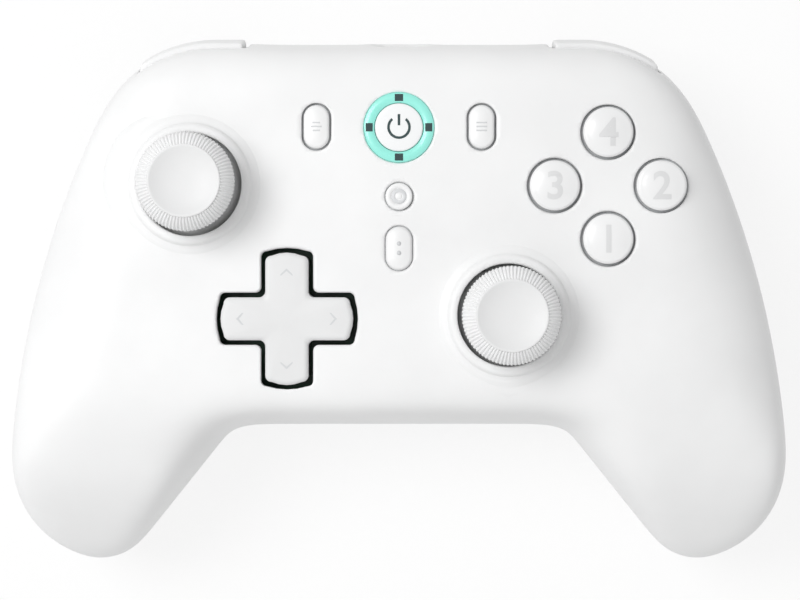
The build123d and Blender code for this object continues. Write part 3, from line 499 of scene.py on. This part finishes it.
def seam_height(y):
    """Height of the seam between the shells, which falls towards the tips of the grips."""
    along = np.maximum(0.0, seam_start - y)
    return seam_level - seam_radius + np.sqrt(seam_radius**2 - along**2)


def half_shell(mesh, name, upper):
    """A new mesh: the part of a mesh above or below the seam, with the cut closed.

    The seam is curved, so the points are first lowered by its height and the cut is a flat one."""
    form = bmesh.new()
    form.from_mesh(mesh)
    for point in form.verts:
        point.co.z -= float(seam_height(point.co.y / MM)) * MM
    level = (seam_gap if upper else -seam_gap) * MM
    cut = bmesh.ops.bisect_plane(form, geom=form.verts[:] + form.edges[:] + form.faces[:], dist=1e-7,
                                 plane_co=(0.0, 0.0, level), plane_no=(0.0, 0.0, 1.0),
                                 clear_inner=upper, clear_outer=not upper)
    rim = [piece for piece in cut["geom_cut"] if isinstance(piece, bmesh.types.BMEdge)]
    bmesh.ops.triangle_fill(form, edges=rim, use_beauty=True)
    for point in form.verts:
        point.co.z += float(seam_height(point.co.y / MM)) * MM
    bmesh.ops.recalc_face_normals(form, faces=form.faces[:])
    half = bpy.data.meshes.new(name)
    form.to_mesh(half)
    form.free()
    return half


def socket_cutter():
    """The opening for the plug, drawn in X and Z and cut along Y."""
    low, high = extent("plug_socket")
    centre = (low + high) / 2
    wide, tall = (high.x - low.x) / 2 + plug_gap, (high.z - low.z) / 2 + plug_gap
    outline = []
    for turn in range(cutter_around):
        angle = 2 * math.pi * turn / cutter_around
        side = 1 if math.cos(angle) >= 0 else -1
        outline.append((centre.x + side * (wide - tall) + tall * math.cos(angle),
                        centre.z + tall * math.sin(angle)))
    return rings([[(x, y, z) for x, z in outline] for y in (high.y + 6.0, high.y - 1.0)], True)


def shell_cutters():
    """The bumper windows with the plug opening, and the screw wells, a little larger than in the frame."""
    parts, wells = [socket_cutter()], []
    for side in (-1, 1):
        near, far = sorted((side * (bumper_near - trim), side * (bumper_far + trim)))
        parts.append(box_part((near, window_back - trim, window_low - trim),
                              (far, outside, window_high + trim)))
    for x, y, depth in screw_wells:
        profile = [(well_radius, -2.0), (well_radius, depth)]
        wells.append(turned(Vector((x, y, 0.0)), profile, well_around, True))
    return parts, wells


def trigger_cutters():
    """The openings that the triggers swing through."""
    parts = []
    for side in ("left", "right"):
        low, high = extent("trigger_" + side)
        parts.append(box_part((low.x - trigger_gap, trigger_back - trim, -3.0),
                              (high.x + trigger_gap, outside, window_low + trigger_overlap)))
    return parts


def shell_weights(places):
    """Softening share: full on open skin, little round the bumper windows and plug, half at the sticks."""
    x, y, z = np.abs(places[:, 0]), places[:, 1], places[:, 2]
    beside = np.maximum(np.maximum(bumper_near - trim - x, x - bumper_far - trim), 0.0)
    behind = np.maximum(trigger_back - trim - y, 0.0)
    over = np.maximum(z - window_high - trim, 0.0)
    away = np.sqrt(beside**2 + behind**2 + over**2)
    amount = softness * np.clip((away - 0.8) / 6.0, least_share, 1.0)
    socket_away = np.hypot(np.maximum(x - 5.0, 0.0), np.maximum(np.abs(z - 30.0) - 2.2, 0.0))
    amount *= np.where(y > 45.0, np.clip((socket_away - 0.6) / 3.0, least_share, 1.0), 1.0)
    for centre in sticks.values():
        away = np.hypot(places[:, 0] - centre.x, y - centre.y)
        amount[(away < 14.0) & (z > 41.0)] *= 0.5
    return amount


def well_plugs():
    """Fillers that close the screw wells while the shell is softened."""
    mesh = nodes["rear_shell"].data
    places = np.empty(len(mesh.vertices) * 3)
    mesh.vertices.foreach_get("co", places)
    places = places.reshape(-1, 3) / MM
    parts = []
    for x, y, depth in screw_wells:
        rim = places[np.hypot(places[:, 0] - x, places[:, 1] - y) < 3.0]
        lowest = float(rim[:, 2].min()) + well_sink
        profile = [(well_plug, lowest), (well_plug, depth)]
        parts.append(turned(Vector((x, y, 0.0)), profile, well_around, True))
    return parts


def white_shells():
    """The two halves of the housing, softly rounded as one, cut apart at the seam and then opened."""
    halves = [nodes["front_shell"].data, nodes["rear_shell"].data]
    whole = melted("whole", halves, face_plugs() + well_plugs(), shell_voxel, shell_weights, shell_rounds)
    windows, wells = shell_cutters()
    upper = hidden_object("upper", half_shell(whole, "upper", True))
    lower = hidden_object("lower", half_shell(whole, "lower", False))
    adopt("face_skin", clipped(upper, face_cutters() + windows, "face"), white_shell,
          "housing", "front_shell")
    notched = hidden_object("notched", clipped(lower, windows, "notches"))
    adopt("back_skin", clipped(notched, wells + trigger_cutters(), "back"), white_shell,
          "housing", "rear_shell")
    for work in (upper, lower, notched):
        bpy.data.objects.remove(work)


def stick_lip(side):
    """The smooth raised lip round a stick, whose foot dips below the skin."""
    profile = [(opening_radius, ceiling), (opening_radius, 45.45), (10.0, 45.7), (10.2, 45.8), (10.95, 45.74),
               (11.35, 45.6), (11.6, 45.25), (11.72, 44.9), (11.9, 44.75), (12.6, 44.62), (13.1, 44.45),
               (13.6, 44.18), (14.0, 44.02), (14.7, 43.93), (15.6, 43.6), (16.4, 43.0), (17.0, 42.2),
               (17.2, 41.5)]
    points, faces = turned(sticks[side], profile, 128, close_last=False)
    build("stick_lip_" + side, points, faces, white_shell, "housing", None)


def soft_edges(places):
    """Even light softening."""
    return np.full(len(places), 0.5)


def shoulder_pieces():
    """Bumpers and triggers with melted edges."""
    for side in ("left", "right"):
        for kind, voxel, rounds in (("bumper", 0.3, 6), ("trigger", 0.35, 36)):
            node = "%s_%s" % (kind, side)
            mesh = melted(node + "_form", [nodes[node].data], [], voxel, soft_edges, rounds)
            adopt("%s_skin_%s" % (kind, side), mesh, white_shell, node, node)


# Buttons


def face_button(number):
    """One of the four milky round buttons, with its faint number inside the dome."""
    node = "button_%d" % number
    centre = middle(node)
    top = centre.z
    low, _ = extent(node)
    profile = dome(button_radius, low.z, top, button_rise, button_roll)
    points, faces = turned(centre, profile, close_first=True)
    build("round_" + node, points, faces, milky_button, node, node)
    gap_collar(node + "_collar", node, lambda grow, height: circle(centre, button_radius + grow, height),
               button_gap)
    inner = button_radius - button_roll
    number_on_dome(str(number), centre, lambda away: top - button_rise * min(1.0, away / inner)**2, node)


def gap_collar(name, body, outline, gap, level=collar_level, finish=painted_gap_shade):
    """The thin collar of a button, seen in the gap round it; its grey finish is painted shade for the gap."""
    foot = level - collar_depth
    levels = [(-0.2, foot), (gap - 0.05, foot), (gap - 0.05, level - 0.05), (gap - 0.1, level), (-0.2, level)]
    points, faces = rings([outline(grow, height) for grow, height in levels], False, False)
    build(name, points, faces, finish, body, None)


def number_on_dome(text, centre, height, body):
    """A large faint number that follows the dome."""
    curve = bpy.data.curves.new("number_" + text, "FONT")
    curve.body = text
    curve.size = 7.4 * MM
    curve.align_x = "CENTER"
    curve.align_y = "CENTER"
    curve.offset = 0.00014
    work = hidden_object("number_work", curve)
    mesh = evaluated(work)
    bpy.data.objects.remove(work)
    form = bmesh.new()
    form.from_mesh(mesh)
    for step in range(5):
        bmesh.ops.triangulate(form, faces=form.faces)
        long_edges = [edge for edge in form.edges if edge.calc_length() > 0.45 * MM]
        bmesh.ops.subdivide_edges(form, edges=long_edges, cuts=1)
    bmesh.ops.triangulate(form, faces=form.faces)
    xs = [vert.co.x for vert in form.verts]
    ys = [vert.co.y for vert in form.verts]
    shift = Vector(((max(xs) + min(xs)) / 2, (max(ys) + min(ys)) / 2))
    for vert in form.verts:
        x, y = (vert.co.x - shift.x) / MM, (vert.co.y - shift.y) / MM
        away = math.hypot(x, y)
        vert.co = Vector((centre.x + x, centre.y + y, height(away) + 0.03)) * MM
    form.to_mesh(mesh)
    form.free()
    adopt("number_%s_print" % text, mesh, faint_print, body, None)


def pills():
    """The view and menu buttons with faint bars, and the middle pill with two dots."""
    for node, centre in (("button_view", view_place), ("button_menu", menu_place)):
        low, _ = extent(node)
        points, faces = pill(centre, pill_width, pill_length, low.z, centre.z)
        build(node + "_cap", points, faces, white_key, node, node)
        gap_collar(node + "_collar", node, lambda grow, height: pill_shape(centre, pill_width, grow, height),
                   pill_gap)
        for row in (-1, 0, 1):
            wide = 1.0 if node == "button_menu" else 1.0 - 0.3 * abs(row)
            small_bar(node + "_bar_%d" % (row + 2), centre + Vector((0, row * 0.75, 0)), wide, 0.13, node)
    low, _ = extent("button_mode")
    points, faces = pill(mode, mode_width, pill_length, low.z, mode.z)
    build("button_mode_cap", points, faces, white_key, "button_mode", "button_mode")
    # The collar's grey is painted shade for the gap round the middle pill
    gap_collar("button_mode_collar", "button_mode",
               lambda grow, height: pill_shape(mode, mode_width, grow, height),
               small_gap, shallow_collar_level, grey_ring_and_gap_shade)
    for row in (-1, 1):
        points, faces = turned(mode + Vector((0, row * 0.9, 0)),
                               [(0.42, mode.z - 0.1), (0.42, mode.z + print_rise)], 24)
        build("button_mode_dot_%d" % (row + 2), points, faces, grey_print, "button_mode", None)


def small_bar(name, centre, half, thick, body):
    """A short printed bar just proud of the surface."""
    top = centre.z + print_rise
    corners = [(-half, -thick), (half, -thick), (half, thick), (-half, thick)]
    outlines = [[(centre.x + x, centre.y + y, level) for x, y in corners] for level in (top - 0.1, top)]
    points, faces = rings(outlines)
    build(name, points, faces, grey_print, body, None, False)


def capture_button():
    """The small round button: a white rim, a sunk grey ring and a dot."""
    low, high = extent("button_capture")
    top = high.z
    profile = [(capture_radius, low.z), (capture_radius, top - 0.3), (2.47, top - 0.1), (2.3, top),
               (1.75, top), (1.6, top - 0.12), (1.45, top - 0.25)]
    points, faces = turned(capture, profile, close_first=True)
    build("capture_cap", points, faces, white_key, "button_capture", "button_capture")
    # The collar's grey is painted shade for the gap round the small round button
    gap_collar("capture_collar", "button_capture",
               lambda grow, height: circle(capture, capture_radius + grow, height),
               small_gap, shallow_collar_level, grey_ring_and_gap_shade)
    profile = [(1.5, top - 0.3), (1.5, top - 0.23), (0.75, top - 0.23), (0.7, top - 0.3)]
    points, faces = turned(capture, profile, 48, False, False)
    build("capture_ring", points, faces, grey_ring_and_gap_shade, "button_capture", None)
    points, faces = turned(capture, dome(0.6, top - 0.3, top - 0.05, 0.06, 0.1, 4), 36)
    build("capture_dot", points, faces, white_key, "button_capture", None)


def home_parts():
    """The lit ring with four dark marks, and the white disc with a power sign."""
    low, high = extent("home_ring")
    top = high.z
    profile = [(ring_hole, low.z), (ring_hole, top - 0.12), (ring_hole + 0.1, top), (ring_radius - 0.15, top),
               (ring_radius, top - 0.15), (ring_radius, low.z)]
    points, faces = turned(home, profile, close_last=False)
    last = (len(profile) - 1) * around
    for turn in range(around):
        after = (turn + 1) % around
        faces.append((last + turn, last + after, after, turn))
    build("ring_glow", points, faces, ring_light, "housing", "home_ring")
    for step in range(4):
        ring_mark(step, top)
    low, high = extent("button_home")
    points, faces = turned(home, dome(disc_radius, low.z, high.z, 0.15, 0.35), close_first=True)
    build("home_disc", points, faces, home_white, "button_home", "button_home")
    power_sign(high.z + print_rise)


def ring_mark(step, top):
    """One dark mark on the lit ring."""
    turn = math.pi / 2 * step
    points = []
    inner, outer, half = ring_hole + 0.35, ring_radius - 0.3, 0.16
    for level in (top - 0.1, top + print_rise):
        for radius, side in ((inner, -1), (outer, -1), (outer, 1), (inner, 1)):
            angle = turn + side * half * (5.0 / radius)
            points.append((home.x + radius * math.cos(angle), home.y + radius * math.sin(angle), level))
    faces = [(4, 5, 6, 7), (0, 1, 5, 4), (1, 2, 6, 5), (2, 3, 7, 6), (3, 0, 4, 7)]
    build("ring_mark_%d" % (step + 1), points, faces, dark_print, "housing", None, False)


def power_sign(level):
    """A plain power sign: an open circle and a short line."""
    radius, half = 2.0, 0.24
    steps = 40
    outer, inner = [], []
    for step in range(steps + 1):
        angle = math.radians(130 + 280 * step / steps)
        for away, row in ((radius + half, outer), (radius - half, inner)):
            row.append((home.x + away * math.cos(angle), home.y + away * math.sin(angle), level))
    points = outer + inner
    count = steps + 1
    faces = [(step, step + 1, count + step + 1, count + step) for step in range(steps)]
    corners = [(-half, 0.35), (half, 0.35), (half, 2.5), (-half, 2.5)]
    start = len(points)
    points += [(home.x + x, home.y + y, level) for x, y in corners]
    faces.append((start, start + 1, start + 2, start + 3))
    under = [(x, y, level - 0.12) for x, y, _ in points]
    total = len(points)
    sides = []
    for step in range(steps):
        sides.append((step, total + step, total + step + 1, step + 1))
        sides.append((count + step, count + step + 1, total + count + step + 1, total + count + step))
    sides.append((0, count, total + count, total))
    sides.append((steps, total + steps, total + count + steps, count + steps))
    for step in range(4):
        after = (step + 1) % 4
        sides.append((start + step, total + start + step, total + start + after, start + after))
    build("power_sign", points + under, faces + sides, dark_print, "button_home", None, False)


# Direction pad


def direction_pad():
    """The cross with rolled edges and a faint arrow on each arm."""
    top = cross_middle.z
    levels = [(0.0, cross_low.z + 1.0), (0.0, top - cross_roll)]
    for step in range(1, 6):
        angle = math.pi / 2 * step / 5
        levels.append((cross_roll * (1 - math.cos(angle)), top - cross_roll + cross_roll * math.sin(angle)))
    outlines = [cross(-inset, height, max(0.2, cross_corner - inset * 0.6)) for inset, height in levels]
    points, faces = rings(outlines, True)
    build("cross_cap", points, faces, white_touch, "dpad", "dpad")
    for step in range(4):
        arrow(step, top + print_rise)


def arrow(step, level):
    """A faint arrow head near the end of an arm."""
    turn = math.pi / 2 * step
    c, s = math.cos(turn), math.sin(turn)
    tip, back, half, thick = 9.6, 8.5, 1.15, 0.34
    shape = [(tip, 0), (back, half), (back - thick, half), (tip - 1.5 * thick, 0), (back - thick, -half),
             (back, -half)]
    points = []
    for height in (level - 0.1, level):
        points += [(cross_middle.x + c * x - s * y, cross_middle.y + s * x + c * y, height) for x, y in shape]
    faces = [(6, 7, 8, 9), (6, 9, 10, 11)] + [(n, (n + 1) % 6, (n + 1) % 6 + 6, n + 6) for n in range(6)]
    build("arrow_%d" % (step + 1), points, faces, grey_print, "dpad", None, False)


# Thumb sticks


def stick_profile(top, pivot):
    """The smooth parts of a stick below its milled band: cap underside, neck and skirt."""
    profile = []
    skirt_radius, skirt_low, skirt_high, steps = 11.6, 62, 29, 10
    for step in range(steps + 1):
        angle = math.radians(skirt_low - (skirt_low - skirt_high) * step / steps)
        profile.append((skirt_radius * math.sin(angle), pivot + skirt_radius * math.cos(angle)))
    profile += [(4.3, pivot + 12.3), (3.6, pivot + 13.6), (3.3, pivot + 15.2), (3.35, pivot + 16.8),
                (3.9, pivot + 17.8), (6.6, pivot + 18.1), (8.3, pivot + 18.5), (8.9, pivot + 19.0),
                (9.0, pivot + 19.6), (9.0, top - 3.6)]
    return profile


def cap_band(centre, top):
    """The milled band: radial ridges that run from the side over the shoulder to the rim."""
    count = cap_ridges * 6
    levels = [(9.0, top - 3.6, 0.0), (9.25, top - 3.45, 1.0), (9.35, top - 3.0, 1.0), (9.22, top - 2.45, 1.0),
              (8.85, top - 1.85, 1.0), (8.4, top - 1.3, 1.0), (7.9, top - 0.83, 1.0), (7.4, top - 0.45, 1.0),
              (7.0, top - 0.19, 1.0), (6.8, top - 0.18, 0.0)]
    outlines = []
    for radius, height, depth in levels:
        outline = []
        for turn in range(count):
            angle = 2 * math.pi * turn / count
            wave = 0.5 + 0.5 * math.cos(cap_ridges * angle)
            sink = ridge_depth * depth * (1 - wave)
            outline.append((centre.x + (radius - sink) * math.cos(angle),
                            centre.y + (radius - sink) * math.sin(angle), height - sink))
        outlines.append(outline)
    return rings(outlines, close_last=False)


def cap_top(centre, top):
    """The bright rim and the dished top."""
    profile = [(6.82, top - 0.22), (6.78, top - 0.05), (6.68, top), (6.45, top), (dish_edge, top - 0.06)]
    for step in range(1, 9):
        share = 1 - step / 9
        profile.append((dish_edge * share, top - dish_depth + 1.04 * share**2.6))
    return turned(centre, profile)


def thumb_stick(side):
    """A stick: skirt, neck, milled cap and dish."""
    node = "stick_" + side
    centre = sticks[side]
    top = centre.z
    pivot = top - 24.0
    points, faces = turned(centre, stick_profile(top, pivot), close_last=False)
    build("stick_stem_" + side, points, faces, white_cap, node, node)
    points, faces = cap_band(centre, top)
    build("stick_band_" + side, points, faces, white_cap, node, None)
    points, faces = cap_top(centre, top)
    build("stick_top_" + side, points, faces, white_touch, node, None)


# What stays as the frame made it
inner_finishes = {
    "screws": steel, "chassis": black_inside, "main_board": green_board, "button_pads": grey_rubber,
    "plug_socket": steel, "bumper_switches": black_inside, "battery": blue_film, "motor_left": steel,
    "motor_right": steel, "motor_weight_left": sintered, "motor_weight_right": sintered,
    "dpad_stand": black_inside, "dpad_link": black_inside,
}
for side in ("left", "right"):
    inner_finishes["stick_case_" + side] = steel
    for piece in ("stick_rocker_", "stick_pivot_", "stick_bow_"):
        inner_finishes[piece + side] = black_inside
for node, finish in inner_finishes.items():
    for place in nodes[node].material_slots:
        place.material = finish

white_shells()
for side in sticks:
    stick_lip(side)
shoulder_pieces()
for number in range(1, 5):
    face_button(number)
pills()
capture_button()
home_parts()
direction_pad()
for side in sticks:
    thumb_stick(side)


# Floor, light and camera


# How much of the floor that is seen is plain white; the rest takes light and shadow
floor_glow = 0.82


def floor():
    """A pale floor that shows white, with the object's soft shadow."""
    mesh = bpy.data.meshes.new("floor")
    half = 3.0
    corners = [(-half, -half, 0), (half, -half, 0), (half, half, 0), (-half, half, 0)]
    mesh.from_pydata(corners, [], [(0, 1, 2, 3)])
    plane = bpy.data.objects.new("floor", mesh)
    bpy.context.scene.collection.objects.link(plane)
    material, tree, shader = shader_nodes("floor_white")
    shader.inputs["Base Color"].default_value = (0.9, 0.9, 0.9, 1.0)
    shader.inputs["Roughness"].default_value = 0.9
    glow = tree.nodes.new("ShaderNodeEmission")
    glow.inputs["Strength"].default_value = 1.0
    mix = tree.nodes.new("ShaderNodeMixShader")
    rays = tree.nodes.new("ShaderNodeLightPath")
    share = tree.nodes.new("ShaderNodeMath")
    share.operation = "MULTIPLY"
    share.inputs[1].default_value = floor_glow
    out = tree.nodes["Material Output"]
    seen = rays.outputs["Is Camera Ray"]
    for kind in ("Is Glossy Ray", "Is Transmission Ray"):
        either = tree.nodes.new("ShaderNodeMath")
        either.operation = "ADD"
        either.use_clamp = True
        tree.links.new(seen, either.inputs[0])
        tree.links.new(rays.outputs[kind], either.inputs[1])
        seen = either.outputs["Value"]
    tree.links.new(seen, share.inputs[0])
    tree.links.new(share.outputs["Value"], mix.inputs["Fac"])
    tree.links.new(shader.outputs["BSDF"], mix.inputs[1])
    tree.links.new(glow.outputs["Emission"], mix.inputs[2])
    tree.links.new(mix.outputs["Shader"], out.inputs["Surface"])
    mesh.materials.append(material)


def lamp(name, place, size, power, target=(0.0, 0.0, 0.03)):
    """A soft square lamp aimed at the object."""
    light = bpy.data.lights.new(name, "AREA")
    light.size = size
    light.energy = power
    thing = bpy.data.objects.new(name, light)
    thing.location = place
    thing.rotation_euler = (Vector(target) - Vector(place)).to_track_quat("-Z", "Y").to_euler()
    bpy.context.scene.collection.objects.link(thing)


def world():
    """A plain pale surround."""
    surround = bpy.data.worlds.new("surround")
    surround.use_nodes = True
    back = surround.node_tree.nodes["Background"]
    back.inputs["Color"].default_value = (1.0, 1.0, 1.0, 1.0)
    back.inputs["Strength"].default_value = 0.55
    bpy.context.scene.world = surround


def camera():
    """Straight above the face, as far away as the photographed sizes ask."""
    data = bpy.data.cameras.new("camera")
    data.sensor_width = 36.0
    data.lens = 97.0
    thing = bpy.data.objects.new("camera", data)
    thing.location = (0.0002, 0.0003, 0.456)
    bpy.context.scene.collection.objects.link(thing)
    bpy.context.scene.camera = thing


floor()
world()
lamp("key", (-0.36, 0.16, 0.66), 0.36, 3.2)
lamp("fill", (0.12, -0.6, 0.72), 0.9, 0.9)
camera()
bpy.context.scene.view_settings.view_transform = "Standard"
